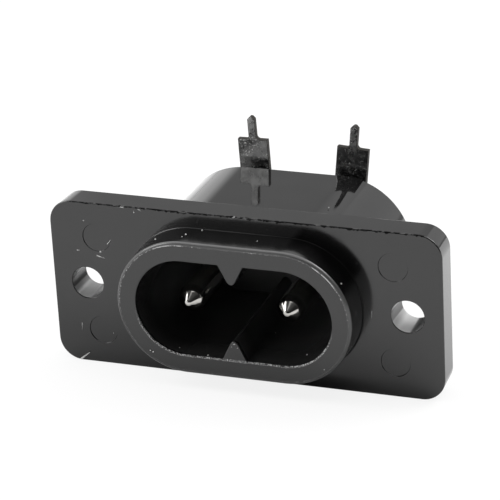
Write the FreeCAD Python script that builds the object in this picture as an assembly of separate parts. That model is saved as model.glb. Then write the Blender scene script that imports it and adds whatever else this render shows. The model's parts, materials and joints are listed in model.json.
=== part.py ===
import FreeCAD, Part
import os
from math import cos, hypot, radians, sin, sqrt, tan
from FreeCAD import Vector

# Figure eight power inlet: a two pole appliance inlet with a screw flange.
# Sizes are millimetres and degrees. X runs across the flange, Y into the appliance, Z up.
# The origin lies midway between the two screw holes, on the flange's front face.

# Contact pins: the distance between their axes also sets every rounded end of the housing
pin_pitch = 8.6
pin_radius = 1.2
pin_nose_length = 1.6
pin_tip_recess = 1.0
pin_wall_clearance = 0.01
pin_seat_radius = 1.75
pin_seat_thickness = 0.7

# Socket cavity, with a V rib above and below that gives it the shape of an eight
cavity_radius = 4.2
cavity_draft = 0.5
waist_half_gap = 2.6
rib_half_angle = 27.0
rib_tip_radius = 0.45
mouth_edge_break = 0.1

# Collar round the socket, in front of the flange
collar_reach = 2.9
collar_wall = 1.76
collar_draft = 1.5
collar_rim_radius = 0.25

# Flange with its two screw holes
screw_spacing = 28.0
screw_hole_radius = 1.35
screw_hole_lead_in = 0.08
flange_end_margin = 3.03
flange_ledge = 1.13
flange_thickness = 2.7
flange_corner_radius = 2.0
flange_draft = 2.0
flange_edge_break = 0.12

# Marks that the mould's ejector pins left on the flange, one near each corner
mark_radius = 1.24
mark_depth = 0.08
mark_end_distance = 4.15
mark_edge_distance = 3.09

# Body behind the flange, and the bosses that carry the tags clear of its rear face
body_depth = 10.55
body_wall = 2.0
body_draft = 0.5
body_rear_edge_break = 0.12
rear_wall = 3.2
boss_height = 1.15
boss_radius = 2.7
boss_draft = 2.0

# Solder tags, stamped from sheet and riveted to the pins, with the ends turned up
tag_thickness = 0.5
tag_width = 2.72
tag_eye_radius = 2.2
tag_eye_blend_radius = 0.8
tag_rise = 1.97
solder_pin_width = 0.66
solder_pin_length = 2.07
solder_pin_root_radius = 0.3
solder_pin_tip_chamfer = 0.24

# How each tag stands: its blade set off from the rivet towards +X, and its top leaning towards +X
tag_offset = {"left": 0.5, "right": -0.2}
tag_lean = {"left": -2.1, "right": 6.1}

# Rivet end of each pin
rivet_radius = 0.8
rivet_hole_clearance = 0.02
rivet_head_radius = 1.4
rivet_head_height = 0.55

# Planes and radii that follow from the sizes above
rim_y = -collar_reach
flange_rear_y = flange_thickness
body_rear_y = flange_rear_y + body_depth
floor_y = body_rear_y - rear_wall
tag_front_y = body_rear_y + boss_height
tag_rear_y = tag_front_y + tag_thickness
collar_radius = cavity_radius + collar_wall
body_radius = cavity_radius + body_wall
flange_width = screw_spacing + 2 * flange_end_margin
flange_height = 2 * (body_radius + flange_ledge)
mark_x = flange_width / 2 - mark_end_distance
mark_z = flange_height / 2 - mark_edge_distance
shoulder_z = body_radius + tag_rise
tool_overshoot = 1.0
same_place = 0.0001
eighth_turn = radians(45)
quarter_turn = radians(90)
pin_sides = {"left": -1, "right": 1}


def spread(distance, draft):
    """How far a drafted wall leans over a distance along Y."""
    return distance * tan(radians(draft))


def spine_distance(point):
    """Distance of a point, seen from the front, from the line between the two pin axes."""
    return hypot(max(abs(point.x) - pin_pitch / 2, 0), point.z)


def stadium(radius, y):
    """Outline at depth y: a half circle round each pin axis, joined by straight runs."""
    half = pin_pitch / 2
    left = Part.Arc(Vector(-half, y, radius), Vector(-half - radius, y, 0), Vector(-half, y, -radius))
    right = Part.Arc(Vector(half, y, -radius), Vector(half + radius, y, 0), Vector(half, y, radius))
    bottom = Part.LineSegment(Vector(-half, y, -radius), Vector(half, y, -radius))
    top = Part.LineSegment(Vector(half, y, radius), Vector(-half, y, radius))
    return Part.Wire([piece.toShape() for piece in (left, bottom, right, top)])


def rounded_rectangle(width, height, radius, y):
    """Outline of the flange at depth y."""
    reach_x = width / 2 - radius
    reach_z = height / 2 - radius
    diagonal = radius * cos(eighth_turn)
    corners = ((1, 1), (-1, 1), (-1, -1), (1, -1))
    arcs = []
    for side, level in corners:
        beside = Vector(side * (reach_x + radius), y, level * reach_z)
        corner = Vector(side * (reach_x + diagonal), y, level * (reach_z + diagonal))
        above = Vector(side * reach_x, y, level * (reach_z + radius))
        start, end = (beside, above) if side == level else (above, beside)
        arcs.append(Part.Arc(start, corner, end).toShape())
    edges = []
    for arc, following in zip(arcs, arcs[1:] + arcs[:1]):
        start = arc.Vertexes[-1].Point
        end = following.Vertexes[0].Point
        edges += [arc, Part.LineSegment(start, end).toShape()]
    return Part.Wire(edges)


def between(front, rear):
    """Solid with straight walls from a front outline to a rear one."""
    return Part.makeLoft([front, rear], True, True)


def edges_at(shape, y, farthest=screw_spacing):
    """Edges that lie in the plane at y, with their middle no farther than this from the pins' line."""
    found = []
    for edge in shape.Edges:
        middle = edge.valueAt((edge.FirstParameter + edge.LastParameter) / 2)
        depths = [middle.y] + [vertex.Point.y for vertex in edge.Vertexes]
        flat = all(abs(depth - y) < same_place for depth in depths)
        if flat and spine_distance(middle) < farthest:
            found.append(edge)
    return found


def edge_along_y(shape, x, z):
    """The edge that runs along Y nearest to a place seen from the front."""
    along = [edge for edge in shape.Edges if 1 - abs(edge.tangentAt(edge.FirstParameter).y) < same_place]
    return min(along, key=lambda edge: hypot(edge.Vertexes[0].X - x, edge.Vertexes[0].Z - z))


def cylinder_along_y(x, z, radius, start_y, length):
    return Part.makeCylinder(radius, length, Vector(x, start_y, z), Vector(0, 1, 0))


def cone_along_y(x, z, start_radius, end_radius, start_y, length):
    return Part.makeCone(start_radius, end_radius, length, Vector(x, start_y, z), Vector(0, 1, 0))


def make_flange():
    lean = spread(flange_thickness, flange_draft)
    front = rounded_rectangle(flange_width, flange_height, flange_corner_radius, 0)
    rear = rounded_rectangle(flange_width - 2 * lean, flange_height - 2 * lean,
                             flange_corner_radius - lean, flange_rear_y)
    flange = between(front, rear)
    return flange.makeChamfer(flange_edge_break, edges_at(flange, 0) + edges_at(flange, flange_rear_y))


def make_collar():
    """Collar up to its rim. It starts inside the flange, so that the two run into each other."""
    root = stadium(collar_radius, flange_rear_y / 2)
    base = stadium(collar_radius, 0)
    rim = stadium(collar_radius - spread(collar_reach, collar_draft), rim_y)
    drafted = between(rim, base)
    drafted = drafted.makeFillet(collar_rim_radius, edges_at(drafted, rim_y))
    return drafted.fuse(between(base, root))


def make_body():
    """Block behind the flange that holds the socket, tapered towards the rear."""
    rear_radius = body_radius - spread(body_depth, body_draft)
    root = stadium(body_radius, flange_rear_y / 2)
    front = stadium(body_radius, flange_rear_y)
    rear = stadium(rear_radius, body_rear_y)
    drafted = between(front, rear)
    drafted = drafted.makeChamfer(body_rear_edge_break, edges_at(drafted, body_rear_y))
    return drafted.fuse(between(root, front))


def make_boss(x):
    """Round boss on the rear face, which backs a tag and lengthens the pin's bore."""
    sink = boss_height / 2
    return cone_along_y(x, 0, boss_radius + spread(sink, boss_draft),
                        boss_radius - spread(boss_height, boss_draft),
                        body_rear_y - sink, sink + boss_height)


def rib_outline(level, growth, y):
    """Section of a V rib at depth y. level is 1 for the upper rib and -1 for the lower one."""
    angle = radians(rib_half_angle)
    tip_z = waist_half_gap - growth
    centre_z = tip_z + rib_tip_radius
    touch_x = rib_tip_radius * cos(angle)
    touch_z = centre_z - rib_tip_radius * sin(angle)
    root_z = cavity_radius + collar_wall / 2
    root_x = touch_x + (root_z - touch_z) * tan(angle)
    places = [(-root_x, root_z), (-touch_x, touch_z), (0, tip_z), (touch_x, touch_z), (root_x, root_z)]
    left_root, left_touch, tip, right_touch, right_root = [Vector(x, y, level * z) for x, z in places]
    edges = [Part.LineSegment(left_root, left_touch).toShape(),
             Part.Arc(left_touch, tip, right_touch).toShape(),
             Part.LineSegment(right_touch, right_root).toShape(),
             Part.LineSegment(right_root, left_root).toShape()]
    return Part.Wire(edges)


def make_cavity():
    """The space in the socket: a tapered stadium, less the two V ribs."""
    start_y = rim_y - tool_overshoot
    narrowing = spread(floor_y - rim_y, cavity_draft)
    widening = spread(tool_overshoot, cavity_draft)
    cavity = between(stadium(cavity_radius + widening, start_y),
                     stadium(cavity_radius - narrowing, floor_y))
    for level in (1, -1):
        rib = between(rib_outline(level, -widening, start_y),
                      rib_outline(level, narrowing, floor_y))
        cavity = cavity.cut(rib)
    return cavity


def make_screw_hole(x):
    hole = cylinder_along_y(x, 0, screw_hole_radius, -tool_overshoot,
                            flange_thickness + 2 * tool_overshoot)
    lead_in = cone_along_y(x, 0, screw_hole_radius + screw_hole_lead_in, screw_hole_radius,
                           0, screw_hole_lead_in)
    return hole.fuse(lead_in)


def make_housing():
    """Flange, collar and body, moulded as one piece."""
    housing = make_flange().fuse(make_collar()).fuse(make_body())
    for side in pin_sides.values():
        housing = housing.fuse(make_boss(side * pin_pitch / 2))
    housing = housing.removeSplitter()
    housing = housing.cut(make_cavity())
    mouth = edges_at(housing, rim_y, cavity_radius + mouth_edge_break)
    housing = housing.makeChamfer(mouth_edge_break, mouth)
    for side in pin_sides.values():
        housing = housing.cut(make_screw_hole(side * screw_spacing / 2))
        housing = housing.cut(cylinder_along_y(side * pin_pitch / 2, 0, pin_radius + pin_wall_clearance,
                                               floor_y - tool_overshoot,
                                               rear_wall + boss_height + 2 * tool_overshoot))
        for level in (1, -1):
            housing = housing.cut(cylinder_along_y(side * mark_x, level * mark_z,
                                                   mark_radius, -tool_overshoot,
                                                   tool_overshoot + mark_depth))
    return housing


def make_contact_pin(x):
    """Turned pin: bullet nose, shank, seat on the socket's floor, and a rivet end behind the tag."""
    tip_y = rim_y + pin_tip_recess
    shank_y = tip_y + pin_nose_length
    seat_y = floor_y - pin_seat_thickness
    head_end_y = tag_rear_y + rivet_head_height
    dome_radius = (rivet_head_radius ** 2 + rivet_head_height ** 2) / (2 * rivet_head_height)
    dome_x = rivet_head_radius / 2
    dome_y = head_end_y - dome_radius + sqrt(dome_radius ** 2 - dome_x ** 2)
    tip = Vector(x, tip_y, 0)
    profile = [(pin_radius, shank_y), (pin_radius, seat_y), (pin_seat_radius, seat_y),
               (pin_seat_radius, floor_y), (pin_radius, floor_y), (pin_radius, tag_front_y),
               (rivet_radius, tag_front_y), (rivet_radius, tag_rear_y), (rivet_head_radius, tag_rear_y)]
    corners = [Vector(x + radius, y, 0) for radius, y in profile]
    dome_end = Vector(x, head_end_y, 0)
    nose = Part.Ellipse(tip, corners[0], Vector(x, shank_y, 0))
    edges = [Part.ArcOfEllipse(nose, 0, quarter_turn).toShape()]
    edges += [Part.LineSegment(start, end).toShape() for start, end in zip(corners, corners[1:])]
    edges.append(Part.Arc(corners[-1], Vector(x + dome_x, dome_y, 0), dome_end).toShape())
    edges.append(Part.LineSegment(dome_end, tip).toShape())
    face = Part.Face(Part.Wire(edges))
    return face.revolve(Vector(x, 0, 0), Vector(0, 1, 0), 360)


def make_solder_tag(x, offset, lean):
    """Flat tag: an eye round the rivet, a blade past the body's top, and a narrow solder pin."""
    blade_x = x + offset
    tip_z = shoulder_z + solder_pin_length
    eye = cylinder_along_y(x, 0, tag_eye_radius, tag_front_y, tag_thickness)
    blade = Part.makeBox(tag_width, tag_thickness, shoulder_z,
                         Vector(blade_x - tag_width / 2, tag_front_y, 0))
    solder_pin = Part.makeBox(solder_pin_width, tag_thickness, solder_pin_length,
                              Vector(blade_x - solder_pin_width / 2, tag_front_y, shoulder_z))
    tag = eye.fuse([blade, solder_pin]).removeSplitter()
    for side in (-1, 1):
        neck_x = blade_x + side * tag_width / 2
        neck_z = sqrt(tag_eye_radius ** 2 - (neck_x - x) ** 2)
        tag = tag.makeFillet(tag_eye_blend_radius, [edge_along_y(tag, neck_x, neck_z)])
        root = edge_along_y(tag, blade_x + side * solder_pin_width / 2, shoulder_z)
        tag = tag.makeFillet(solder_pin_root_radius, [root])
        corner = edge_along_y(tag, blade_x + side * solder_pin_width / 2, tip_z)
        tag = tag.makeChamfer(solder_pin_tip_chamfer, [corner])
    tag = tag.cut(cylinder_along_y(x, 0, rivet_radius + rivet_hole_clearance, tag_front_y, tag_thickness))
    tag.rotate(Vector(x, 0, 0), Vector(0, 1, 0), lean)
    return tag


def save(name, shape):
    solid = shape.Solids[0]
    print(name, len(shape.Solids), "solid", round(solid.Volume, 3), "mm3", "valid", solid.isValid())
    solid.exportStep("parts/" + name + ".step")


os.makedirs("parts", exist_ok=True)
save("housing", make_housing())
for name, side in pin_sides.items():
    pin_x = side * pin_pitch / 2
    save("contact_pin_" + name, make_contact_pin(pin_x))
    save("solder_tag_" + name, make_solder_tag(pin_x, tag_offset[name], tag_lean[name]))
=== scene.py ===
# %% [markdown]
# A figure eight power inlet, the small black socket that a two core mains lead plugs into.
# The measured parts come from the frame, which says where each one sits and how large it is.
# This lesson models each visible piece again by hand, with the small roundings, draft and
# marks that catch the light, and gives them their finishes: glossy black moulded plastic,
# bright turned pins and blotchy tinned tags, on a white table.

# %% Load the measured parts
import json
from collections import namedtuple
from math import atan2, cos, pi, radians, sin, sqrt, tan

import bmesh
import bpy
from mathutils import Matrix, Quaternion, Vector, noise

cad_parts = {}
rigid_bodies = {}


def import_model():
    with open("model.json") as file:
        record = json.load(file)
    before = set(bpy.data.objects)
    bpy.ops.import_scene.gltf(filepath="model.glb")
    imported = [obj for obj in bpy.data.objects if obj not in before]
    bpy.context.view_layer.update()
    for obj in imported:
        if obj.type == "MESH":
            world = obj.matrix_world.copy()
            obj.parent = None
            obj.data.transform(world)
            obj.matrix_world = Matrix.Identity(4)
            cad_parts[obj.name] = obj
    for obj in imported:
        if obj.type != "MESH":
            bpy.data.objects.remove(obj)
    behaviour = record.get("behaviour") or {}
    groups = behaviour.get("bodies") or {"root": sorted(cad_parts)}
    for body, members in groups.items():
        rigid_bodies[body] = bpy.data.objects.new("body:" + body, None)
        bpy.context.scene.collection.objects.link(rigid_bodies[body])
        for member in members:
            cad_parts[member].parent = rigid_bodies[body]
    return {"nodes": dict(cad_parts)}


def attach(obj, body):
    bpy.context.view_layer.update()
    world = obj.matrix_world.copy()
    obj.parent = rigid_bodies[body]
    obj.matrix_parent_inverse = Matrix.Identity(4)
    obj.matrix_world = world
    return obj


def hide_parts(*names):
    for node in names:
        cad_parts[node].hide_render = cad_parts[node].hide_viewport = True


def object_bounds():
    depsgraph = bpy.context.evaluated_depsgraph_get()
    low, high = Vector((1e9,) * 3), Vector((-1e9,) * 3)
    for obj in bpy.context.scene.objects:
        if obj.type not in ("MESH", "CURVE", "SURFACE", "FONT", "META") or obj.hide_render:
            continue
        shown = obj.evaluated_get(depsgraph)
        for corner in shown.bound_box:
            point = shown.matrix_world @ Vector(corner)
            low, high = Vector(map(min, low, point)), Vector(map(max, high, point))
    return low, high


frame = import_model()
cad_low, cad_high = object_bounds()
mm = 0.001
scene = bpy.context.scene
print("measured box in mm:", [round(v / mm, 2) for v in (*cad_low, *cad_high)])

# %% [markdown]
# The photograph was taken from the right and a little above, with a long lens, which keeps
# parallel edges nearly parallel. The camera is placed on a sphere round a point near the
# middle of the inlet. Then it is rolled a few degrees, because the inlet stands askew there.

# %% Camera
camera_turn = radians(21.22)
camera_rise = radians(23.79)
camera_roll = radians(-3.11)
camera_distance = 225.1 * mm
camera_target = Vector((0.73, 0.0, 4.53)) * mm
camera_lens = 199.0

towards_camera = Vector((sin(camera_turn) * cos(camera_rise),
                         -cos(camera_turn) * cos(camera_rise),
                         sin(camera_rise)))
bpy.ops.object.camera_add(location=camera_target + camera_distance * towards_camera)
camera = bpy.context.object
camera.name = "photo_camera"
camera.rotation_mode = "QUATERNION"
level_view = towards_camera.to_track_quat("Z", "Y")
camera.rotation_quaternion = level_view @ Quaternion((0, 0, 1), camera_roll)
camera.data.lens = camera_lens
camera.data.clip_start = 10 * mm
scene.camera = camera
print("camera at", [round(v / mm, 1) for v in camera.location], "mm")

# %% [markdown]
# Small parts are easiest to model at one unit to the millimetre, because the bevel and merge
# tools expect everyday sizes. The last step of each piece brings it down to its real size.
# These helpers pick vertices, edges or faces by their place, as a hand would click them.

# %% Helpers for picking
def deselect_all():
    """Let go of every object, before the next one is added or picked."""
    bpy.ops.object.select_all(action="DESELECT")


def select_whole():
    """Select the piece all over, in edit mode."""
    bpy.ops.mesh.select_all(action="SELECT")


def settle_place():
    """Put the object's place, turn and size into its mesh."""
    bpy.ops.object.transform_apply(location=True, rotation=True, scale=True)


def open_piece(kind):
    """Go into edit mode with nothing selected, ready to pick by VERT, EDGE or FACE."""
    if bpy.context.mode == "OBJECT":
        bpy.ops.object.mode_set(mode="EDIT")
    bpy.ops.mesh.select_mode(type=kind)
    bpy.ops.mesh.select_all(action="DESELECT")
    return bmesh.from_edit_mesh(bpy.context.object.data)


def pick_faces(test):
    """Select each face whose middle and normal pass the test."""
    shape = open_piece("FACE")
    for face in shape.faces:
        face.select_set(test(face.calc_center_median(), face.normal))
    bmesh.update_edit_mesh(bpy.context.object.data)


def pick_edges(test):
    """Select each edge whose two ends pass the test."""
    shape = open_piece("EDGE")
    for edge in shape.edges:
        edge.select_set(test(edge.verts[0].co, edge.verts[1].co))
    bmesh.update_edit_mesh(bpy.context.object.data)


def bevel(size, segments):
    """Round off the edges that are selected."""
    bpy.ops.mesh.bevel(offset=size, segments=segments, affect="EDGES")


def close_piece():
    """Turn every face outwards and leave edit mode."""
    select_whole()
    bpy.ops.mesh.normals_make_consistent(inside=False)
    bpy.ops.object.mode_set(mode="OBJECT")


def select_only(piece):
    """Select one object alone and make it the active one."""
    deselect_all()
    piece.select_set(True)
    bpy.context.view_layer.objects.active = piece


# %% [markdown]
# A turned shape starts as a flat disc. Its face is pulled out and resized again and again,
# once for each step of the profile, as a potter pulls up a wall. Roundings are a few short
# steps along a quarter circle.

# %% Helpers for turned shapes
round_sides = 128
rounding_steps = 5


def turn_up(profile, x=0.0, z=0.0):
    """A closed round solid along Y. The profile lists its (y, radius) from one end to the other."""
    start_y, start_radius = profile[0]
    deselect_all()
    bpy.ops.mesh.primitive_circle_add(vertices=round_sides, radius=start_radius, fill_type="NGON",
                                      location=(x, start_y, z), rotation=(pi / 2, 0, 0))
    settle_place()
    bpy.ops.object.mode_set(mode="EDIT")
    select_whole()
    for (y, radius), (next_y, next_radius) in zip(profile, profile[1:]):
        growth = next_radius / radius
        bpy.ops.mesh.extrude_region_move(TRANSFORM_OT_translate={"value": (0, next_y - y, 0)})
        bpy.ops.transform.resize(value=(growth, 1, growth), center_override=(x, next_y, z))
    close_piece()
    return bpy.context.object


def quarter_round(centre_y, centre_radius, size_y, size_radius, start=0.0, steps=rounding_steps):
    """Profile steps along a quarter ellipse. start 0 begins at its side, start 1 at its end."""
    turns = [abs(start - step / steps) * pi / 2 for step in range(steps + 1)]
    return [(centre_y + size_y * sin(turn), centre_radius + size_radius * cos(turn)) for turn in turns]


def arc(centre_across, centre_up, radius, start, end, steps):
    """Points along an arc, as (across, up). Angles run from the first towards the second."""
    turns = [start + (end - start) * step / steps for step in range(steps + 1)]
    return [(centre_across + radius * cos(turn), centre_up + radius * sin(turn)) for turn in turns]


def combine(piece, tool, how):
    """Weld a tool on (UNION) or cut it out (DIFFERENCE). The tool is used up."""
    select_only(piece)
    step = piece.modifiers.new("combine", "BOOLEAN")
    step.operation = how
    step.solver = "EXACT"
    step.object = tool
    bpy.ops.object.modifier_apply(modifier=step.name)
    bpy.data.objects.remove(tool)


# %% [markdown]
# The housing is one moulding: flange, collar, socket and body. Mould makers give it draft,
# so that it leaves the mould, and slightly rounded edges, because a sharp edge in steel
# breaks. The flange begins as a block with its four long corners rounded. Its rear face is
# a little smaller, and its outline gets a fine bevel.

# %% Flange
pin_pitch = 8.6
flange_width, flange_height, flange_thickness = 34.06, 14.66, 2.7
flange_corner_radius = 2.0
flange_draft = radians(2.0)
flange_edge_radius = 0.12
corner_segments = 16
edge_segments = 4
near = 0.001
nearly_parallel = 0.999
facing = 0.9


def runs_along(start, end, axis):
    """True for an edge that runs along one axis, given as 0, 1 or 2."""
    run = end - start
    return abs(run[axis]) > nearly_parallel * run.length


def lies_at(depth):
    """A test for edges that lie at one depth along Y."""
    return lambda start, end: abs(start.y - depth) < near and abs(end.y - depth) < near


deselect_all()
bpy.ops.mesh.primitive_cube_add(size=1, location=(0, flange_thickness / 2, 0),
                                scale=(flange_width, flange_thickness, flange_height))
settle_place()
housing = bpy.context.object
pick_edges(lambda start, end: runs_along(start, end, 1))
bevel(flange_corner_radius, corner_segments)
pick_faces(lambda middle, normal: normal.y > facing)
lean = flange_thickness * tan(flange_draft)
bpy.ops.transform.resize(value=(1 - 2 * lean / flange_width, 1, 1 - 2 * lean / flange_height),
                         center_override=(0, flange_thickness, 0))
for depth in (0, flange_thickness):
    pick_edges(lies_at(depth))
    bevel(flange_edge_radius, edge_segments)
close_piece()
print("flange:", len(housing.data.polygons), "faces")

# %% [markdown]
# The photographed flange has been knocked about: its upper front edge is nicked all along.
# That edge is divided finely, and its vertices are pushed in wherever a noise pattern runs
# high. Noise is repeatable, so the nicks are the same each time.

# %% Nicked upper edge
nick_depth = 0.12
nick_spacing = 0.07
nick_start = 0.1
coarse_nicks_per_mm = 2.1
coarse_layer = (3.0, 0.7)
fine_nicks_per_mm = 6.0
fine_rows_per_mm = 9.0
fine_layer = 4.0
fine_share = 0.8
edge_band_width = 1.5 * flange_edge_radius
top_row_height = 0.4 * flange_edge_radius
rear_row_start = 0.9 * flange_edge_radius


def nick_top_edge():
    """Divide the upper front edge, and push its vertices back and down where the noise is high."""
    top = flange_height / 2
    reach = flange_width / 2 - flange_corner_radius
    pick_edges(lambda start, end: runs_along(start, end, 0) and start.z > top - edge_band_width
               and max(start.y, end.y) < edge_band_width)
    bpy.ops.mesh.subdivide(number_cuts=int(2 * reach / nick_spacing))
    shape = bmesh.from_edit_mesh(housing.data)
    nicked = 0
    for vertex in shape.verts:
        x, y, z = vertex.co
        if z > top - edge_band_width and y < edge_band_width and abs(x) < reach - near:
            coarse_place = Vector((coarse_nicks_per_mm * x, *coarse_layer))
            fine_place = Vector((fine_nicks_per_mm * x, fine_rows_per_mm * z, fine_layer))
            bite = noise.noise(coarse_place) + fine_share * noise.noise(fine_place)
            depth = nick_depth * max(bite - nick_start, 0)
            in_front = y < near
            on_top = abs(z - top) < top_row_height and y > rear_row_start
            vertex.co.y += 0 if in_front else depth
            vertex.co.z -= 0 if on_top else depth
            nicked += int(depth > 0)
    bmesh.update_edit_mesh(housing.data)
    return nicked


print("nicked vertices:", nick_top_edge())
close_piece()

# %% [markdown]
# Collar and body share one outline, a half circle round each pin joined by straight runs.
# A quick way to such a shape is to turn a round column, split it down the middle, and pull
# the halves apart by the distance between the pins. The column's profile holds the rim's
# soft edge, the draft, the small fillets at the flange, and the broken edge at the rear.

# %% Collar and body
collar_reach = 2.9
collar_radius = 5.96
collar_draft = radians(1.5)
rim_rounding = 0.28
root_fillet = 0.06
body_radius = 6.2
body_draft = radians(0.5)
body_rear_y = 13.25
body_edge_radius = 0.12


def pull_apart():
    """Split a round solid down the middle and pull its halves apart by the pins' distance."""
    bpy.ops.object.mode_set(mode="EDIT")
    select_whole()
    bpy.ops.mesh.bisect(plane_co=(0, 0, 0), plane_no=(1, 0, 0))
    pick_faces(lambda middle, normal: middle.x > 0)
    bpy.ops.mesh.extrude_region_move(TRANSFORM_OT_translate={"value": (pin_pitch, 0, 0)})
    select_whole()
    bpy.ops.transform.translate(value=(-pin_pitch / 2, 0, 0))
    close_piece()


rim_y = -collar_reach
rim_radius = collar_radius - collar_reach * tan(collar_draft)
rear_radius = body_radius - (body_rear_y - flange_thickness) * tan(body_draft)
inside_flange_y = flange_thickness / 2
column_profile = [
    *quarter_round(rim_y + rim_rounding, rim_radius - rim_rounding, -rim_rounding, rim_rounding, 1),
    *quarter_round(-root_fillet, collar_radius + root_fillet, root_fillet, -root_fillet),
    (inside_flange_y, collar_radius + root_fillet),
    (inside_flange_y + root_fillet, body_radius + root_fillet),
    *quarter_round(flange_thickness + root_fillet, body_radius + root_fillet, -root_fillet, -root_fillet, 1),
    *quarter_round(body_rear_y - body_edge_radius, rear_radius - body_edge_radius,
                   body_edge_radius, body_edge_radius),
]
column = turn_up(column_profile)
pull_apart()
combine(housing, column, "UNION")
print("with collar and body:", len(housing.data.polygons), "faces")

# %% [markdown]
# Two round bosses on the rear face back the tags. Each is a short cone with a broken edge.

# %% Bosses
boss_height = 1.15
boss_radius = 2.7
boss_draft = radians(2.0)
pin_places = {"left": -pin_pitch / 2, "right": pin_pitch / 2}

tag_front_y = body_rear_y + boss_height
boss_sink = 0.6
boss_end_radius = boss_radius - boss_height * tan(boss_draft)
boss_profile = [
    (body_rear_y - boss_sink, boss_radius + boss_sink * tan(boss_draft)),
    *quarter_round(tag_front_y - body_edge_radius, boss_end_radius - body_edge_radius,
                   body_edge_radius, body_edge_radius),
]
for x in pin_places.values():
    combine(housing, turn_up(boss_profile, x), "UNION")
print("with bosses:", len(housing.data.polygons), "faces")

# %% [markdown]
# The socket is cut out of the collar and body with a tool of its own shape, turned and
# pulled apart like the column. The tool flares a little at the mouth, which leaves the
# mouth with a softly broken edge.

# %% Socket
cavity_radius = 4.2
cavity_draft = radians(0.5)
floor_y = 10.05
mouth_rounding = 0.1
overshoot = 1.0

cavity_depth = floor_y - rim_y
mouth_radius = cavity_radius + mouth_rounding
cavity_profile = [
    (rim_y - overshoot, mouth_radius),
    *quarter_round(rim_y + mouth_rounding, mouth_radius, -mouth_rounding, -mouth_rounding, 1),
    (floor_y, cavity_radius - cavity_depth * tan(cavity_draft)),
]
cavity = turn_up(cavity_profile)
pull_apart()
combine(housing, cavity, "DIFFERENCE")
print("socket depth:", round(cavity_depth, 2), "mm")

# %% [markdown]
# Two V ribs run down the socket, one above and one below. They give it the waist of an
# eight. A rib is a block with one side squeezed to a line. That line is rounded with a
# bevel, the front outline gets a fine one, and the whole rib is welded to the wall.

# %% Ribs
waist_half_gap = 2.6
rib_half_angle = radians(27.0)
rib_tip_radius = 0.45
rib_tip_segments = 12
rib_root_z = 5.05
rib_front_gap = 0.004


def add_rib(level):
    """One rib. level is 1 above and -1 below."""
    apex_z = waist_half_gap + rib_tip_radius - rib_tip_radius / sin(rib_half_angle)
    height = rib_root_z - apex_z
    half_width = height * tan(rib_half_angle)
    front_y = rim_y + rib_front_gap
    length = floor_y + mouth_rounding - front_y
    middle_z = level * (apex_z + rib_root_z) / 2
    deselect_all()
    bpy.ops.mesh.primitive_cube_add(size=1, location=(0, front_y + length / 2, middle_z),
                                    scale=(2 * half_width, length, height))
    settle_place()
    pick_faces(lambda middle, normal: abs(middle.z - level * apex_z) < near)
    bpy.ops.transform.resize(value=(0, 1, 1), center_override=(0, 0, level * apex_z))
    select_whole()
    bpy.ops.mesh.remove_doubles(threshold=near)
    pick_edges(lambda start, end: runs_along(start, end, 1) and abs(start.z - level * apex_z) < near)
    tip_bevel = rib_tip_radius / tan(rib_half_angle)
    bevel(tip_bevel, rib_tip_segments)
    pick_edges(lies_at(front_y))
    bevel(mouth_rounding, edge_segments)
    pick_faces(lambda middle, normal: normal.y > facing)
    bpy.ops.transform.translate(value=(0, 0, -level * length * tan(cavity_draft)))
    close_piece()
    return bpy.context.object


for level in (1, -1):
    combine(housing, add_rib(level), "UNION")
print("with socket and ribs:", len(housing.data.polygons), "faces")

# %% [markdown]
# The screw holes, the bores for the pins and the four shallow round marks that the mould's
# ejector pins left are all cut with turned tools. A hole's tool flares where it leaves the
# face, so its edge comes out slightly broken.

# %% Holes, bores and ejector marks
screw_spacing = 28.0
screw_hole_radius = 1.35
hole_lean = 0.06
hole_lead_in = 0.08
pin_bore_radius = 1.21
mark_radius = 1.24
mark_depth = 0.08
mark_slant = mark_depth / 4
mark_x, mark_z = 12.88, 4.24
mark_places = [(side * mark_x, level * mark_z) for side in (-1, 1) for level in (-1, 1)]

hole_mouth_radius = screw_hole_radius + hole_lean + hole_lead_in
hole_profile = [
    (-overshoot, hole_mouth_radius),
    *quarter_round(hole_lead_in, hole_mouth_radius, -hole_lead_in, -hole_lead_in, 1),
    (flange_thickness, screw_hole_radius - hole_lean),
    (flange_thickness + overshoot, screw_hole_radius - hole_lean),
]
bore_profile = [(floor_y - overshoot, pin_bore_radius), (tag_front_y + overshoot, pin_bore_radius)]
mark_profile = [(-overshoot, mark_radius + mark_slant), (0, mark_radius + mark_slant),
                (mark_depth / 2, mark_radius), (mark_depth, mark_radius - mark_slant)]
for side in (-1, 1):
    combine(housing, turn_up(hole_profile, side * screw_spacing / 2), "DIFFERENCE")
for x in pin_places.values():
    combine(housing, turn_up(bore_profile, x), "DIFFERENCE")
for x, z in mark_places:
    combine(housing, turn_up(mark_profile, x, z), "DIFFERENCE")
print("with holes and marks:", len(housing.data.polygons), "faces")

# %% [markdown]
# A chip is missing at the flange's lower left corner: a narrow wedge that runs in from the
# edge. A thin cone, laid on the face and cut out, leaves the same groove.

# %% Chipped corner
chip_start = Vector((-15.36, 0.0, -7.45))
chip_end = Vector((-14.2, 0.0, -6.4))
chip_radius = 0.16
chip_point_radius = 0.02
chip_sides = 7


def add_cone(start, end, radius, point_radius, sides):
    """A cone from one place to another, with its thick end first."""
    run = end - start
    deselect_all()
    bpy.ops.mesh.primitive_cone_add(vertices=sides, radius1=radius, radius2=point_radius,
                                    depth=run.length, location=(start + end) / 2,
                                    rotation=run.to_track_quat("Z", "Y").to_euler())
    settle_place()
    return bpy.context.object


chip = add_cone(chip_start, chip_end, chip_radius, chip_point_radius, chip_sides)
combine(housing, chip, "DIFFERENCE")
print("chip:", round((chip_end - chip_start).length, 2), "mm long")

# %% [markdown]
# A finished piece is merged, smoothed except at real corners, and weighted so that its
# large flat faces stay flat in the light. Then it is brought to real size, rides on the
# part's body, and stands for the measured node of its name.

# %% Finishing helper
corner_angle = radians(35)
merge_distance = 0.0005


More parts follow.
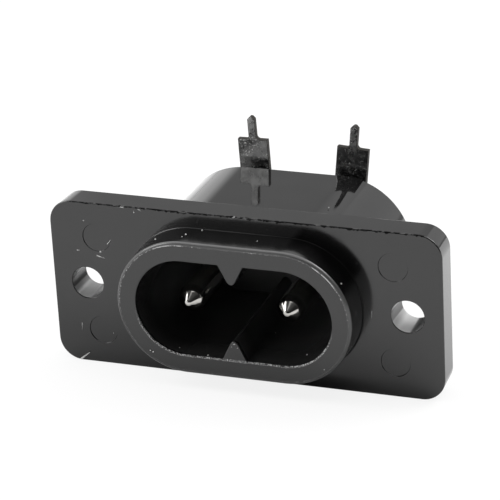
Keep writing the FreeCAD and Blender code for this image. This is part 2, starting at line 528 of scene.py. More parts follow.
def finish_piece(piece, name, node=None):
    """Merge, smooth and weight a piece, bring it to size, put it on the part's body, and hide the measured
    node it stands for, if any.
    """
    select_only(piece)
    bpy.ops.object.mode_set(mode="EDIT")
    select_whole()
    bpy.ops.mesh.remove_doubles(threshold=merge_distance)
    close_piece()
    piece.name = name
    piece.data.name = name
    bpy.ops.object.shade_smooth_by_angle(angle=corner_angle)
    weighted = piece.modifiers.new("flat_faces_first", "WEIGHTED_NORMAL")
    weighted.keep_sharp = True
    bpy.ops.object.modifier_apply(modifier=weighted.name)
    piece.scale = (mm, mm, mm)
    settle_place()
    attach(piece, "root")
    if node:
        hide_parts(node)
    print(name, "has", len(piece.data.polygons), "faces")


finish_piece(housing, "moulded_housing", "housing")

# %% [markdown]
# The pins are turned from brass rod and plated. A pin has a blunt nose, a shank, a wider
# seat on the socket's floor, and a thinner end that is riveted over behind the tag.
# The nose is a blunt cone with a round tip and a wide soft shoulder, as a form tool leaves
# it, and the rivet's head is a low dome.

# %% Contact pins
pin_radius = 1.2
pin_tip_y = -1.9
nose_slope = radians(43)
nose_tip_radius = 0.45
nose_shoulder_radius = 1.1
pin_seat_radius = 1.75
pin_seat_thickness = 0.7
pin_edge_radius = 0.05
tag_thickness = 0.5
rivet_radius = 0.8
rivet_head_radius = 1.4
rivet_head_height = 0.55
dome_steps = 12
pole_radius = 0.02


def nose_profile():
    """Steps from the pin's tip to its shank: round tip, straight cone, round shoulder."""
    tip_centre_y = pin_tip_y + nose_tip_radius
    shoulder_centre = pin_radius - nose_shoulder_radius
    growth = nose_shoulder_radius - nose_tip_radius
    cone_width = shoulder_centre + growth * sin(nose_slope)
    shoulder_y = tip_centre_y + growth * cos(nose_slope) + cone_width * tan(nose_slope)
    tip = arc(tip_centre_y, 0, nose_tip_radius, pi, pi - nose_slope, dome_steps)
    shoulder = arc(shoulder_y, shoulder_centre, nose_shoulder_radius, pi - nose_slope, pi / 2, dome_steps)
    return [(pin_tip_y, pole_radius), *tip[1:], *shoulder]


def pin_profile():
    """Steps from the pin's tip to the top of its rivet head."""
    seat_y = floor_y - pin_seat_thickness
    tag_rear_y = tag_front_y + tag_thickness
    seat_edge = quarter_round(seat_y + pin_edge_radius, pin_seat_radius - pin_edge_radius,
                              -pin_edge_radius, pin_edge_radius, 1)
    dome = quarter_round(tag_rear_y, 0, rivet_head_height, rivet_head_radius, steps=dome_steps)
    return [*nose_profile(), (seat_y, pin_radius), *seat_edge, (floor_y, pin_seat_radius),
            (floor_y, pin_radius), (tag_front_y, pin_radius), (tag_front_y, rivet_radius),
            (tag_rear_y, rivet_radius), *dome[:-1], (tag_rear_y + rivet_head_height, pole_radius)]


pins = {}
for side, x in pin_places.items():
    pins[side] = turn_up(pin_profile(), x)
    finish_piece(pins[side], "turned_pin_" + side, "contact_pin_" + side)

# %% [markdown]
# The tags are stamped from sheet: an eye round the rivet, a blade, and a narrow pin for the
# circuit board. The outline is drawn from a single vertex, which is extruded from corner to
# corner and, in short steps, round each arc. It is filled, given its thickness and bevelled,
# because a stamping tool rolls the edge on one side. Both sides of the outline follow one
# recipe, and the blade may stand a little beside the rivet.

# %% Tag outline
tag_width = 2.72
tag_eye_radius = 2.2
tag_eye_blend_radius = 0.8
shoulder_z = 8.17
solder_pin_width = 0.66
solder_pin_length = 2.07
solder_pin_root_radius = 0.3
solder_pin_tip_corner = 0.24
arc_steps = 10


def half_outline(offset):
    """The side of a tag that lies along +X, from the eye up to the tip, and where it leaves the eye."""
    blade_x = offset + tag_width / 2
    blend_x = blade_x + tag_eye_blend_radius
    blend_z = sqrt((tag_eye_radius + tag_eye_blend_radius) ** 2 - blend_x ** 2)
    turn = atan2(blend_z, blend_x)
    pin_x = offset + solder_pin_width / 2
    root = pin_x + solder_pin_root_radius, shoulder_z + solder_pin_root_radius, solder_pin_root_radius
    tip_z = shoulder_z + solder_pin_length
    points = [*arc(blend_x, blend_z, tag_eye_blend_radius, turn + pi, pi, arc_steps), (blade_x, shoulder_z),
              *arc(*root, -pi / 2, -pi, arc_steps),
              (pin_x, tip_z - solder_pin_tip_corner), (pin_x - solder_pin_tip_corner, tip_z)]
    return points, turn


def tag_outline(offset):
    """Points round a tag whose rivet is at the origin and whose blade is set off along X."""
    right, right_turn = half_outline(offset)
    left, left_turn = half_outline(-offset)
    left = [(-x, z) for x, z in reversed(left)]
    return [*right, *left, *arc(0, 0, tag_eye_radius, pi - left_turn, right_turn + 2 * pi, 4 * arc_steps)]


print("tag outline:", len(tag_outline(0.0)), "points")

# %% [markdown]
# Sheet metal is never quite flat. Each blade is twisted a few degrees, divided by cuts across
# it, and its vertices are pushed in or out by a few hundredths of a millimetre, so that its
# shine wanders. Then the tag leans as it does on its rivet.

# %% Solder tags
tag_offset = {"left": 0.5, "right": -0.2}
tag_lean = {"left": radians(-2.1), "right": radians(6.1)}
tag_twist = {"left": radians(-2.0), "right": radians(5.0)}
tag_edge_radius = 0.035
tag_edge_segments = 3
rivet_hole_radius = 0.82
cut_spacing = 0.3
sheet_wander = 0.02
waves_per_mm = 0.8
waves_apart = 5.0


def draw_outline(points, y):
    """A plane merged to one vertex, extruded from point to point, closed and filled."""
    deselect_all()
    bpy.ops.mesh.primitive_plane_add(size=1, location=(0, 0, 0))
    open_piece("VERT")
    select_whole()
    bpy.ops.mesh.merge(type="CENTER")
    x, z = points[0]
    bpy.ops.transform.translate(value=(x, y, z))
    for next_x, next_z in points[1:] + points[:1]:
        step = (next_x - x, 0, next_z - z)
        bpy.ops.mesh.extrude_vertices_move(TRANSFORM_OT_translate={"value": step})
        x, z = next_x, next_z
    select_whole()
    bpy.ops.mesh.remove_doubles(threshold=near)
    bpy.ops.mesh.edge_face_add()
    return bpy.context.object


def wave_sheet(side):
    """Cut the sheet across every few tenths of a millimetre, and let its vertices wander."""
    eye_cuts = int(tag_eye_radius / cut_spacing)
    top_cuts = int((shoulder_z + solder_pin_length) / cut_spacing)
    cuts = [((step, 0, 0), (1, 0, 0)) for step in range(-eye_cuts, eye_cuts + 1)]
    cuts += [((0, 0, step), (0, 0, 1)) for step in range(-eye_cuts, top_cuts + 1)]
    for place, across in cuts:
        select_whole()
        bpy.ops.mesh.bisect(plane_co=[cut_spacing * part for part in place], plane_no=across)
    shape = bmesh.from_edit_mesh(bpy.context.object.data)
    wave_row = waves_apart * pin_places[side]
    for vertex in shape.verts:
        x, y, z = vertex.co
        rise = min(max(z / tag_eye_radius - 1, 0), 1)
        wave = noise.noise(Vector((waves_per_mm * x, wave_row, waves_per_mm * z)))
        vertex.co.y += sheet_wander * rise * wave
        vertex.co.y += (x - tag_offset[side]) * rise * tan(tag_twist[side])
    bmesh.update_edit_mesh(bpy.context.object.data)


def add_tag(side):
    """One tag: its outline thickened, bevelled, pierced, waved and leaned on its rivet."""
    tag = draw_outline(tag_outline(tag_offset[side]), tag_front_y)
    select_whole()
    bpy.ops.mesh.extrude_region_move(TRANSFORM_OT_translate={"value": (0, tag_thickness, 0)})
    close_piece()
    pick_edges(lies_at(tag_front_y))
    bevel(tag_edge_radius, tag_edge_segments)
    close_piece()
    combine(tag, turn_up([(tag_front_y - overshoot, rivet_hole_radius),
                          (tag_front_y + overshoot, rivet_hole_radius)]), "DIFFERENCE")
    select_only(tag)
    open_piece("FACE")
    wave_sheet(side)
    close_piece()
    tag.location.x = pin_places[side]
    tag.rotation_euler.y = tag_lean[side]
    settle_place()
    return tag


tags = {}
for side in pin_places:
    tags[side] = add_tag(side)
    finish_piece(tags[side], "stamped_tag_" + side, "solder_tag_" + side)

# %% [markdown]
# Handling has left its traces: hair scuffs on the flange, and specks of dust here and there.
# Each scuff is a raised burr a few hundredths of a millimetre wide, a cone laid along the
# scratch and pressed nearly flat. Each speck is a small lump with its vertices shaken.

# %% Scuffs and dust
scuffs = [
    ((-12.98, 2.60), (-12.28, 2.42), 0.05),
    ((-14.81, -3.8), (-14.87, -4.5), 0.018),
    ((-11.95, 3.74), (-11.62, 4.15), 0.03),
    ((-14.75, 2.92), (-14.5, 2.93), 0.035),
    ((-10.55, 7.22), (-10.2, 7.2), 0.03),
    ((-8.95, 7.19), (-8.7, 7.05), 0.03),
    ((10.99, 0.2), (10.95, -0.45), 0.02),
    ((-15.16, -7.24), (-14.35, -6.55), 0.09),
]
dust = [
    ((-6.99, -1.38, 5.28), 0.06), ((-4.46, -1.73, 5.91), 0.05), ((-4.31, -1.25, 5.93), 0.07),
    ((-3.28, -0.21, 5.95), 0.07), ((1.86, -1.17, 5.93), 0.05), ((9.17, -2.04, 3.34), 0.07),
    ((5.49, 6.19, 6.17), 0.05), ((-12.60, 0.0, 2.99), 0.07), ((-7.46, -2.9, -4.15), 0.045),
    ((-7.22, -2.9, -4.26), 0.05), ((7.73, -2.9, -4.1), 0.035), ((-11.98, 0.0, -4.44), 0.03),
    ((-9.33, 0.0, 6.88), 0.05), ((-13.94, 0.0, 5.68), 0.04), ((-2.48, -2.52, -4.2), 0.06),
    ((-5.22, -1.98, -4.09), 0.04), ((1.54, 2.73, -4.15), 0.04), ((5.56, -0.85, -3.99), 0.05),
    ((0.02, -2.89, -2.72), 0.06), ((0.3, -2.89, -3.05), 0.035), ((-0.22, -2.89, -3.0), 0.03),
]
burr_sides = 8
burr_cuts = 3
burr_taper = 5
burr_shake = 1 / 3
burr_flatness = 0.25
dust_shake = 1 / 2


def shake(offset, cuts=0):
    """Divide the new piece, and push its vertices about at random, the same way each run."""
    open_piece("VERT")
    select_whole()
    if cuts:
        bpy.ops.mesh.subdivide(number_cuts=cuts)
    bpy.ops.transform.vertex_random(offset=offset, seed=len(bpy.data.objects))


def add_scuff(start, end, width):
    """A flat burr on the flange's front face, from one (x, z) to another."""
    start, end = (Vector((x, 0, z)) for x, z in (start, end))
    burr = add_cone(start, end, width, width / burr_taper, burr_sides)
    shake(width * burr_shake, burr_cuts)
    bpy.ops.transform.resize(value=(1, burr_flatness, 1), center_override=(0, 0, 0))
    close_piece()
    return burr


def add_dust(place, size):
    """A lump of dust that sits half sunk in the surface."""
    deselect_all()
    bpy.ops.mesh.primitive_ico_sphere_add(subdivisions=2, radius=size, location=place)
    settle_place()
    shake(size * dust_shake)
    close_piece()
    return bpy.context.object


bits = [add_scuff(*scuff) for scuff in scuffs] + [add_dust(*speck) for speck in dust]
select_only(bits[0])
for bit in bits:
    bit.select_set(True)
bpy.ops.object.join()
traces = bpy.context.object
finish_piece(traces, "scuffs_and_dust")

# %% [markdown]
# Materials are made of nodes. These helpers add a node, do arithmetic, and read a place on
# the piece in millimetres, so that each finish below reads as a short recipe. A socket's
# id_data is the node tree that it belongs to. In a recipe, a pattern is a number of blotches
# to the millimetre and how much detail they have. A span is the part of a value that counts,
# from low to high, and what that part is stretched to, which is 0 to 1 where the span
# doesn't say. A name with two brackets holds both.

# %% Node helpers
def new_material(name):
    """A material that has no nodes yet, and its node tree."""
    material = bpy.data.materials.new(name)
    material.use_nodes = True
    material.node_tree.nodes.clear()
    return material, material.node_tree


def add_node(tree, kind, **values):
    """A new node. Values are set on the node itself, or on the input of that name."""
    node = tree.nodes.new("ShaderNode" + kind)
    for name, value in values.items():
        if hasattr(node, name):
            setattr(node, name, value)
        else:
            node.inputs[name.replace("_", " ")].default_value = value
    return node


def link(source, target):
    """Join an output socket to an input socket."""
    source.id_data.links.new(source, target)


def calculate(operation, *terms):
    """One step of arithmetic. The first term is a socket, the others sockets or numbers."""
    node = add_node(terms[0].id_data, "Math", operation=operation)
    for term, socket in zip(terms, node.inputs):
        if isinstance(term, (int, float)):
            socket.default_value = term
        else:
            link(term, socket)
    return node.outputs[0]


def multiply(result, *others):
    """All the terms multiplied."""
    for term in others:
        result = calculate("MULTIPLY", result, term)
    return result


def largest(result, *others):
    """The largest of all the terms."""
    for term in others:
        result = calculate("MAXIMUM", result, term)
    return result


# %% [markdown]
# Noise stands for everything that is uneven: smears, stains, blotches and dimples. Its place
# is read in millimetres from the piece's own coordinates, so it stays put when the piece
# moves. A stretched place gives streaks and rings instead of round blotches.

# %% Pattern helpers
def place_in_mm(tree, stretch=(1, 1, 1)):
    """The place on the piece, in millimetres, for patterns and masks."""
    source = add_node(tree, "TexCoord")
    scaled = add_node(tree, "Mapping")
    scaled.inputs["Scale"].default_value = [part / mm for part in stretch]
    link(source.outputs["Object"], scaled.inputs["Vector"])
    return scaled.outputs["Vector"]


def split_axes(place):
    """The x, y and z of a place."""
    node = add_node(place.id_data, "SeparateXYZ")
    link(place, node.inputs[0])
    return node.outputs


def remap(source, low, high, new_low=0.0, new_high=1.0):
    """Stretch the part of a value between low and high to a new range, and cut off the rest."""
    node = add_node(source.id_data, "MapRange")
    for name, value in (("From Min", low), ("From Max", high), ("To Min", new_low), ("To Max", new_high)):
        node.inputs[name].default_value = value
    link(source, node.inputs["Value"])
    return node.outputs["Result"]


def cloud(place, per_mm, detail):
    """Soft noise from 0 to 1 with so many blotches to the millimetre."""
    node = add_node(place.id_data, "TexNoise", Scale=per_mm, Detail=detail)
    link(place, node.inputs["Vector"])
    return node.outputs["Fac"]


def mottle(place, pattern, span):
    """Soft noise of one pattern, stretched to a span."""
    return remap(cloud(place, *pattern), *span)


def blend_colours(share, first, second):
    """Mix two colours. A colour is a value or a socket."""
    node = add_node(share.id_data, "Mix", data_type="RGBA")
    link(share, node.inputs["Factor"])
    for colour, socket in ((first, node.inputs[6]), (second, node.inputs[7])):
        if isinstance(colour, tuple):
            socket.default_value = colour
        else:
            link(colour, socket)
    return node.outputs[2]


def bump(height, depth_mm, under=None):
    """Tilt the surface's normal by a height pattern that is so many millimetres deep."""
    node = add_node(height.id_data, "Bump", Strength=1.0, Distance=depth_mm * mm)
    link(height, node.inputs["Height"])
    if under:
        link(under, node.inputs["Normal"])
    return node.outputs["Normal"]


def show(shader):
    """Wire a shader to a new output node."""
    link(shader.outputs[0], add_node(shader.id_data, "OutputMaterial").inputs["Surface"])


def give_skin(colour, roughness, normal, **values):
    """A surface with these patterns. Even values are set on its own sockets."""
    skin = add_node(colour.id_data, "BsdfPrincipled", **values)
    for name, pattern in (("Base Color", colour), ("Roughness", roughness), ("Normal", normal)):
        link(pattern, skin.inputs[name])
    show(skin)
    return skin


# %% [markdown]
# The plastic's worn places and painted light follow the outline of collar and socket, and the
# whole outline is drawn round the line between the pins. So each mask below asks where a point
# lies and how far it is from that line.

# %% Places on the housing
Spot = namedtuple("Spot", "place x y z line")


def distance(first, second):
    """How far apart two points are, from their distances along two axes."""
    squares = [multiply(side, side) for side in (first, second)]
    return calculate("SQRT", calculate("ADD", *squares))


def find_spot(tree):
    """Where a point of the housing lies, and how far it is from the line between the pins."""
    place = place_in_mm(tree)
    x, y, z = split_axes(place)
    beyond_pin = calculate("SUBTRACT", calculate("ABSOLUTE", x), pin_pitch / 2)
    return Spot(place, x, y, z, distance(largest(beyond_pin, 0.0), z))


# %% [markdown]
# The rim's outer line and the mouth's lower edge carry dotted pale lines, partly wear from
# plugging and partly painted highlight. A fine noise gives the dots, and a broad one lets them
# come and go. Along the rim's top, where the light falls, they are strongest, and two stretches
# there are painted almost solid as bright highlight. Outside its line the rim gets a grey band
# of painted sheen. The rim's marks fade towards the bottom, and the mouth's towards the top.

# %% Frayed rim and mouth, with painted highlight and sheen
rim_line_radius = rim_radius - rim_rounding
line_half_width = 0.045
rim_skin_depth = 0.03
rim_dots, rim_dots_span = (8.0, 2.0), (0.52, 0.62)
rim_patches = (0.22, 3.0), (0.35, 0.6, 0.15, 1.0)
rim_fade = (-1.0, 3.0, 0.25, 1.0)
# Two stretches along the rim's top get dense painted highlight.
highlight_stretches = ((-5.4, 1.3), (7.9, 0.9))
highlight_stretches_above = 3.0
dense_highlight_dots_span = (0.40, 0.46)
mouth_line_radius = cavity_radius + mouth_rounding / 2
mouth_line_half_width = 0.1
mouth_dots = (10.0, 3.0), (0.47, 0.62)
mouth_fade = (-0.5, -2.5)
# Where the rim's band of painted sheen lies, and how it fades towards the bottom.
rim_sheen_span = (rim_line_radius - 0.02, rim_line_radius + 0.06)
rim_sheen_fade = (-2.0, 3.0, 0.25, 1.0)


def rim_wear_and_highlight(spot):
    """1 where the rim's outer line is pale: dotted fraying and painted highlight."""
    dots = cloud(spot.place, *rim_dots)
    dotted_wear_and_highlight = multiply(remap(dots, *rim_dots_span), mottle(spot.place, *rim_patches),
                       remap(spot.z, *rim_fade))
    stretches = [calculate("COMPARE", spot.x, *stretch) for stretch in highlight_stretches]
    dense_highlight = multiply(largest(*stretches), remap(dots, *dense_highlight_dots_span),
                      calculate("GREATER_THAN", spot.z, highlight_stretches_above))
    return multiply(largest(dotted_wear_and_highlight, dense_highlight),
                    calculate("COMPARE", spot.line, rim_line_radius, line_half_width),
                    calculate("LESS_THAN", spot.y, rim_y + rim_skin_depth))


def mouth_wear_and_highlight(spot):
    """1 where the mouth's lower edge is pale: a worn burr and painted highlight."""
    on_edge = calculate("COMPARE", spot.line, mouth_line_radius, mouth_line_half_width)
    return multiply(on_edge, remap(spot.z, *mouth_fade),
                    calculate("LESS_THAN", spot.y, rim_y + mouth_rounding),
                    mottle(spot.place, *mouth_dots))


def painted_rim_sheen(spot):
    """Painted sheen: 1 on the rounding outside the rim's line, and less towards the bottom."""
    return multiply(remap(spot.line, *rim_sheen_span), remap(spot.z, *rim_sheen_fade),
                    calculate("LESS_THAN", spot.y, rim_y + rim_rounding))


# %% [markdown]
# The walls of the screw holes are painted with light: a pale painted sheen, two bands of
# painted shade down each, and a dimmer left hole. The bands are found from the turn round the
# hole's axis.

# %% Screw hole walls, with painted sheen and shade
hole_reach = 1.05
painted_shade_bands = ((radians(4), radians(17)), (radians(122), radians(22)))
band_softness = 1.3
left_hole_sheen_share = 0.45


def screw_hole_painted_light(spot):
    """A mask of the walls of both holes, and how much painted sheen they get."""
    on_right = calculate("SIGN", spot.x)
    beside = calculate("SUBTRACT", spot.x, multiply(on_right, screw_spacing / 2))
    off_axis = distance(beside, spot.z)
    walls = multiply(calculate("LESS_THAN", off_axis, hole_reach * screw_hole_radius),
                     calculate("GREATER_THAN", spot.y, hole_lead_in))
    turn = calculate("ARCTAN2", multiply(spot.z, -1.0), multiply(beside, -1.0))
    painted_sheen_share = remap(on_right, -1, 1, left_hole_sheen_share, 1.0)
    for middle, reach in painted_shade_bands:
        off_band = calculate("ABSOLUTE", calculate("SUBTRACT", turn, middle))
        painted_sheen_share = multiply(painted_sheen_share, remap(off_band, reach, band_softness * reach))
    return walls, painted_sheen_share


# %% [markdown]
# Three places don't shine: the socket's walls, the chips along the flange's upper edge, and
# the fillet at the collar's root on the right. The chips are deepest where a noise runs high.

# %% Dull places
wall_start = 0.3
chips = (2.6, 5.0), (0.40, 0.68, 0.0, 0.22)
chips_fade = (-14.0, -6.0, 0.45, 1.0)
root_fade = (-1.0, 5.0, 0.0, 0.9)


def socket_walls(spot):
    """1 on all that lies inside the socket."""
    return multiply(calculate("LESS_THAN", spot.line, cavity_radius),
                    calculate("GREATER_THAN", spot.y, rim_y + wall_start))


def chipped_edge(spot):
    """1 on the chips along the flange's upper front edge."""
    height = multiply(mottle(spot.place, *chips), remap(spot.x, *chips_fade))
    reached = calculate("GREATER_THAN", calculate("ADD", spot.z, height), flange_height / 2)
    return multiply(reached, calculate("LESS_THAN", spot.y, flange_edge_radius))


def dull_root(spot):
    """The fillet at the collar's root, rising from the middle to the right."""
    return multiply(calculate("COMPARE", spot.y, -root_fillet / 2, root_fillet / 2),
                    calculate("COMPARE", spot.line, collar_radius + root_fillet / 2, root_fillet),
                    remap(spot.x, *root_fade))


# %% [markdown]
# The plastic is nearly black, and so smooth that it mirrors the tags and its own collar. Its
# skin ripples a little where it shrank, and handling has left faint smears that blur the
# mirror, most of all on the front faces. The colours go on in layers, from the bare plastic
# up: painted fill light on the socket's walls, paler towards the floor, painted sheen on the
# rim, painted sheen and shade in the screw holes, and the pale lines of wear and painted
# highlight last. Each of these places has its own roughness too.

# %% Black moulded plastic
plastic_black = (0.002, 0.002, 0.0021, 1)
plastic_soot = (0.005, 0.0049, 0.005, 1)
soot = (0.3, 3.0), (0.3, 0.7)
# Painted fill light for the socket's walls, paler towards its floor.
painted_fill_near_mouth = (0.014, 0.014, 0.014, 1)
painted_fill_deep_down = (0.11, 0.11, 0.11, 1)
painted_fill_span = (-0.5, 9.0)
# The grey of the painted sheen on the rim's rounding.
painted_sheen_grey = (0.055, 0.055, 0.055, 1)
# Painted shade and painted sheen for the screw holes' walls.
hole_painted_shade = (0.02, 0.02, 0.02, 1)
hole_painted_sheen = (0.42, 0.42, 0.42, 1)
# The pale of the worn lines and their painted highlight.
pale_wear_and_highlight = (0.40, 0.40, 0.40, 1)
smears = (0.55, 5.0), (0.45, 0.75, 0.05, 0.11)
smear_stretch = (1, 1, 0.4)
front_skin_roughness = 0.08
worn_roughness, wall_roughness = 0.5, 0.22
hole_roughness, rim_sheen_roughness = 0.3, 0.25
sinks, sink_depth = (0.12, 1.0), 0.02
ripples, ripple_depth = (0.9, 2.0), 0.0007
plastic_bend = 1.56
open_shine, dull_shine = 0.5, 0.07


def make_black_plastic():
    """The housing's plastic with its worn places and its painted light and shade."""
    material, tree = new_material("black_moulded_plastic")
    spot = find_spot(tree)
    walls = socket_walls(spot)
    # painted sheen on the rim's rounding
    rim_sheen = painted_rim_sheen(spot)
    holes, painted_sheen_share = screw_hole_painted_light(spot)
    # dotted wear and painted highlight on the rim's line and the mouth's edge
    wear_and_highlight = largest(rim_wear_and_highlight(spot), mouth_wear_and_highlight(spot))

    colour = blend_colours(mottle(spot.place, *soot), plastic_black, plastic_soot)
    # painted fill light on the socket's walls, paler towards its floor
    painted_socket_fill = blend_colours(remap(spot.y, *painted_fill_span), painted_fill_near_mouth, painted_fill_deep_down)
    # painted sheen and shade on the screw holes' walls
    painted_hole_colour = blend_colours(painted_sheen_share, hole_painted_shade, hole_painted_sheen)
    for mask, layer in ((walls, painted_socket_fill), (rim_sheen, painted_sheen_grey), (holes, painted_hole_colour), (wear_and_highlight, pale_wear_and_highlight)):
        colour = blend_colours(mask, colour, layer)

    smeared = mottle(place_in_mm(tree, smear_stretch), *smears)
    in_front = calculate("LESS_THAN", spot.y, flange_edge_radius)
    roughness = calculate("ADD", smeared, multiply(in_front, front_skin_roughness))
    for mask, value in ((wear_and_highlight, worn_roughness), (walls, wall_roughness),
                        (holes, hole_roughness), (rim_sheen, rim_sheen_roughness)):
        roughness = largest(roughness, multiply(mask, value))

    sunk = bump(cloud(spot.place, *sinks), sink_depth)
    rippled = bump(cloud(spot.place, *ripples), ripple_depth, sunk)
    skin = give_skin(colour, roughness, rippled, IOR=plastic_bend)
    dull = largest(walls, chipped_edge(spot), dull_root(spot))
    shine = remap(dull, 0, 1, open_shine, dull_shine)
    link(shine, skin.inputs["Specular IOR Level"])
    return material


# %% [markdown]
# Nickel plate on a turned pin is a bright mirror. The turning tool has left fine rings
# round the pin, so the pattern is squeezed along the pin's length.

# %% Bright nickel
nickel_bright = (0.52, 0.51, 0.49, 1)
nickel_dull = (0.34, 0.33, 0.31, 1)
ring_stretch = (0.2, 8.0, 0.2)
rings, ring_depth = (1.0, 2.0), 0.0008
stains, stains_roughness = (1.4, 4.0), (0.3, 0.7, 0.04, 0.14)


def make_nickel():
    """The pins' plating."""
    material, tree = new_material("bright_nickel")
    stained = cloud(place_in_mm(tree), *stains)
    turned = cloud(place_in_mm(tree, ring_stretch), *rings)
    give_skin(blend_colours(stained, nickel_dull, nickel_bright),
              remap(stained, *stains_roughness), bump(turned, ring_depth), Metallic=1.0)
    return material


# %% [markdown]
# The tin on the tags has dulled unevenly: dark grey blotches, brighter grains in places where
# the tin still shines, and a fine dimpled skin. Blotches and grains are two noises of
# different size, one soft and one cut off sharply. Towards the solder pins the tags were
# dipped, and there the tin is duller.

# %% Blotchy tin
tin_dark = (0.50, 0.50, 0.495, 1)
tin_light = (0.78, 0.78, 0.77, 1)
tin_grain = (0.92, 0.92, 0.90, 1)
tin_blotches = (0.9, 6.0), (0.35, 0.68)
grains = (6.5, 3.0), (0.62, 0.70)
grainy_patches = (0.7, 2.0), (0.42, 0.58, 0.3, 1)
dipped_span = (shoulder_z - 0.3, shoulder_z + 0.5, 0, 0.1)
dipped_patches = (1.8, 3.0), (0.3, 0.5, 0.3, 1)
tin_haze = (2.2, 5.0), (0.3, 0.7, 0.12, 0.30)
dimples, dimple_depth, grain_height = (3.5, 4.0), 0.009, 0.009


def make_tin():
    """The tags' plating."""
    material, tree = new_material("blotchy_tin")
    place = place_in_mm(tree)
    height = split_axes(place)[2]
    grainy = multiply(mottle(place, *grains), mottle(place, *grainy_patches))
    colour = blend_colours(mottle(place, *tin_blotches), tin_dark, tin_light)
    colour = blend_colours(grainy, colour, tin_grain)
    dipped = multiply(remap(height, *dipped_span), mottle(place, *dipped_patches))
    roughness = calculate("ADD", mottle(place, *tin_haze), dipped)
    dimpled = bump(cloud(place, *dimples), dimple_depth)
    give_skin(colour, roughness, bump(grainy, grain_height, dimpled), Metallic=1.0)
    return material


# %% [markdown]
# Where the sheet was sheared, its bare edge has gone dark and dull. So has the rolled front
# edge, which gives each tag its fine dark outline. In the two last finishes one noise does
# all: it mixes the two colours, sets the roughness and makes the relief.

# %% Sheared edge
edge_dark = (0.015, 0.014, 0.013, 1)
edge_brown = (0.045, 0.042, 0.038, 1)
edge_bend, edge_shine = 1.3, 0.15


def make_uneven(name, colours, pattern, roughness, depth, stretch=(1, 1, 1), **values):
    """A finish whose colour, roughness and relief all follow one noise."""
    material, tree = new_material(name)
    unevenness = cloud(place_in_mm(tree, stretch), *pattern)
    give_skin(blend_colours(unevenness, *colours), remap(unevenness, *roughness),
              bump(unevenness, depth), **values)
    return material


sheared = make_uneven("sheared_edge", colours=(edge_dark, edge_brown), pattern=(1.6, 3.0),
                      roughness=(0.3, 0.7, 0.4, 0.65), depth=0.01, stretch=(1, 9, 1),
                      IOR=edge_bend, Specular_IOR_Level=edge_shine)

# %% [markdown]
# Bruised plastic and dust look pale and quite matt beside the gloss.

# %% Pale bruise
bruise_pale = (0.82, 0.82, 0.81, 1)
bruise_grey = (0.32, 0.32, 0.32, 1)
bruise_bend = 1.5

bruise = make_uneven("pale_bruise", colours=(bruise_grey, bruise_pale), pattern=(9.0, 3.0),
                     roughness=(0.3, 0.7, 0.5, 0.85), depth=0.01, IOR=bruise_bend)

# %% [markdown]
# Each piece takes its finish. The measured nodes behind the pieces take the same ones. On a
# tag, every face that doesn't look straight forwards or backwards is a sheared edge.

# %% Give out the finishes
sheared_slope = 0.98
plastic, nickel, tin = make_black_plastic(), make_nickel(), make_tin()
finishes = {"housing": plastic, "contact_pin": nickel, "solder_tag": tin}


def coat(thing, finish):
    """Take off what a thing had on, and give it one finish."""
    thing.data.materials.clear()
    thing.data.materials.append(finish)


for name, node in frame["nodes"].items():
    for start, finish in finishes.items():
        if name.startswith(start):
            coat(node, finish)
coat(housing, plastic)
coat(traces, bruise)
for side in pin_places:
    coat(pins[side], nickel)
    coat(tags[side], tin)
    tags[side].data.materials.append(sheared)
    for face in tags[side].data.polygons:
        face.material_index = int(abs(face.normal.y) < sheared_slope)
print("finishes:", sorted(finish.name for finish in (plastic, nickel, tin, sheared, bruise)))

# %% [markdown]
# The table is a large white plane just under the flange's lower edge. The camera sees it
# brighter than it is lit, as in a catalogue picture, but a faint shadow stays.

# %% Table
table_size = 2.4
table_colour = (0.84, 0.84, 0.84, 1.0)
table_camera_lift = 0.85

deselect_all()
bpy.ops.mesh.primitive_plane_add(size=table_size, location=(0, 0, cad_low.z))
table = bpy.context.object
table.name = "table"
paint, tree = new_material("table_white")
matt = add_node(tree, "BsdfDiffuse", Color=table_colour)
lit = add_node(tree, "Emission", Color=(1, 1, 1, 1), Strength=1.0)
seen = add_node(tree, "LightPath").outputs["Is Camera Ray"]
mix = add_node(tree, "MixShader")
sources = (multiply(seen, table_camera_lift), matt.outputs[0], lit.outputs[0])
for source, socket in zip(sources, mix.inputs):
    link(source, socket)
show(mix)
table.data.materials.append(paint)
print("table top at", round(cad_low.z / mm, 2), "mm")

# %% [markdown]
# Black gloss shows what stands round it more than its own colour. So the world is drawn as
# the room round the table: dim near the horizon and bright overhead, a white wall on the
# left and a dimmer one behind on the right, a narrow window in front on the left, and a dark
# patch where the photographer stands, with a second one above it on the left. A patch is
# given by its left, right, bottom and top and how soft its edge is, in degrees from straight
# in front and from the horizon.

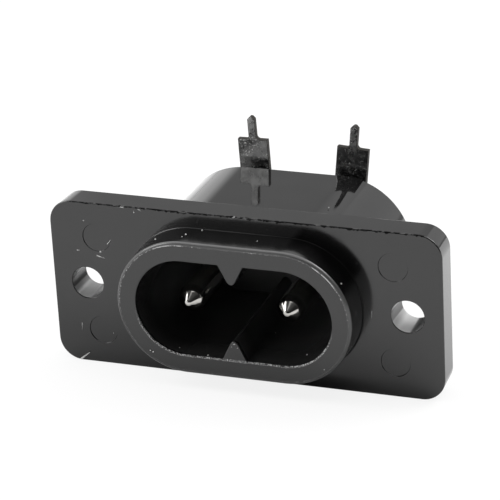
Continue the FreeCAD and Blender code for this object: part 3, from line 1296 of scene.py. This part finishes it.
# %% World
room_low, room_high = 0.5, 1.9
dim_below, bright_above = 24, 48
left_wall, left_wall_light = (-152, -20, -5, 90, 7), 1.25
right_wall, right_wall_light = (135, 176, 4, 45, 6), 0.9
window, window_light = (-86, -54, 4, 62, 3), 1.9
photographer, dark_corner = (-16, 75, -10, 55, 4), (-52, -14, 31, 62, 3)
dark_patch_share = 0.94

world = bpy.data.worlds.new("room")
world.use_nodes = True
scene.world = world
tree = world.node_tree
sky = tree.nodes["Background"]
sky.inputs["Color"].default_value = (1, 1, 1, 1)
beside, behind, rise = split_axes(add_node(tree, "TexCoord").outputs["Generated"])
turn = calculate("ARCTAN2", beside, multiply(behind, -1.0))


def between(source, low, high, edge):
    """1 from low to high, and a soft edge outside them."""
    return multiply(remap(source, low - edge, low), remap(source, high, high + edge, 1, 0))


def patch(left, right, bottom, top, edge):
    """1 on a patch of the room."""
    return multiply(between(turn, radians(left), radians(right), radians(edge)),
                    between(rise, sin(radians(bottom)), sin(radians(top)), radians(edge)))


room = remap(rise, sin(radians(dim_below)), sin(radians(bright_above)), room_low, room_high)
lights = ((left_wall, left_wall_light), (right_wall, right_wall_light), (window, window_light))
room = largest(room, *(multiply(patch(*place), light) for place, light in lights))
shade = multiply(largest(patch(*photographer), patch(*dark_corner)), -dark_patch_share)
link(multiply(room, calculate("ADD", shade, 1.0)), sky.inputs["Strength"])
print("room:", len(lights), "lights on a ground of", room_low, "to", room_high)

# %% [markdown]
# Two large lamps brighten the table on either side.

# %% Lamps
def add_softbox(name, place, size, power):
    """A square lamp that faces the inlet. Place and size are in millimetres."""
    bpy.ops.object.light_add(type="AREA", location=Vector(place) * mm)
    lamp = bpy.context.object
    lamp.name = name
    lamp.data.shape = "SQUARE"
    lamp.data.size = size * mm
    lamp.data.energy = power
    lamp.rotation_mode = "QUATERNION"
    lamp.rotation_quaternion = lamp.location.to_track_quat("Z", "Y")
    print(name, "at", place, "mm")


add_softbox("lamp_back_right", place=(260, 260, 330), size=260, power=1.4)
add_softbox("lamp_left", place=(-190, -50, 150), size=120, power=0.22)

# %% [markdown]
# Last, the colours are shown as they are.

# %% Finish
scene.view_settings.view_transform = "Standard"
